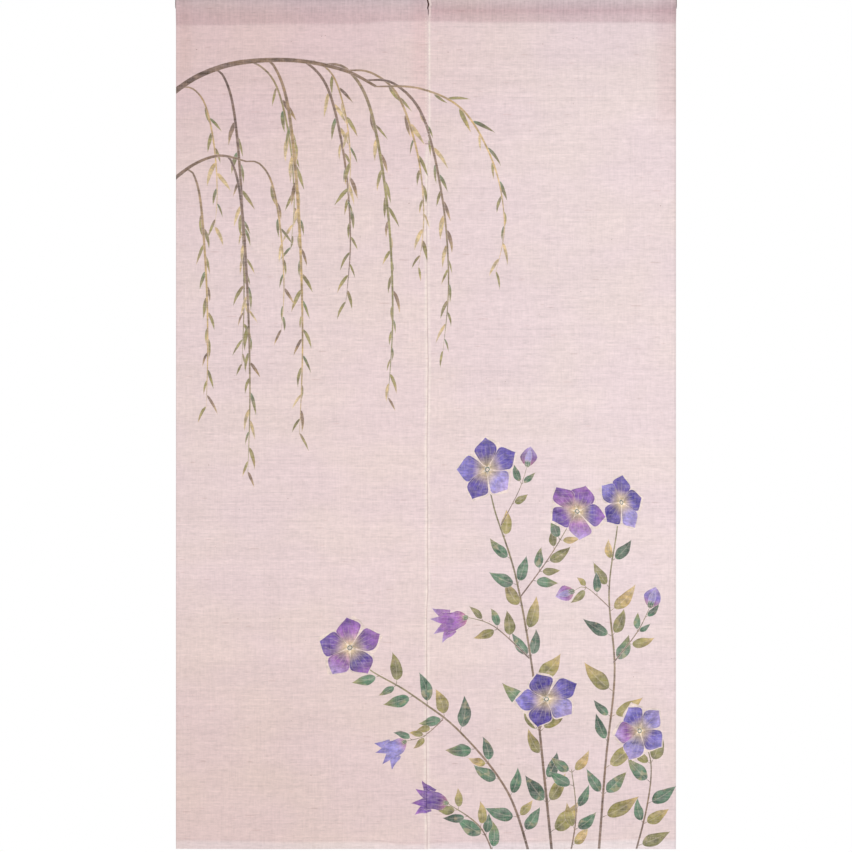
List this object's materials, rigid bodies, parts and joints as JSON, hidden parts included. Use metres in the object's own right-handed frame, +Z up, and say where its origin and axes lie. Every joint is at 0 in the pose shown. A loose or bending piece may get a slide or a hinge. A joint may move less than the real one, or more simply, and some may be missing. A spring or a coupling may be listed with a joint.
{
  "type": "noren curtain on a rod",
  "caption": "Split doorway curtain of plain-woven hemp that hangs by its sleeves on a slim wooden rod; the panels are sewn together at the top centre and open below in a slit.",
  "frame": {"origin": "middle of the rod's axis, which is where the curtain is held up", "axes": "+Z up, the front faces -Y, +X to the right as seen from the front"},
  "size_m": [0.882, 0.0228, 1.5008],
  "materials": {
    "cloth": "plain-woven pale pink hemp, dry and matt, hand-dyed spray and fronds",
    "rod_wood": "dark stained, satin"
  },
  "bodies": {
    "root": {"left_panel": "cloth", "right_panel": "cloth", "rod": "rod_wood"}
  },
  "joints": []
}
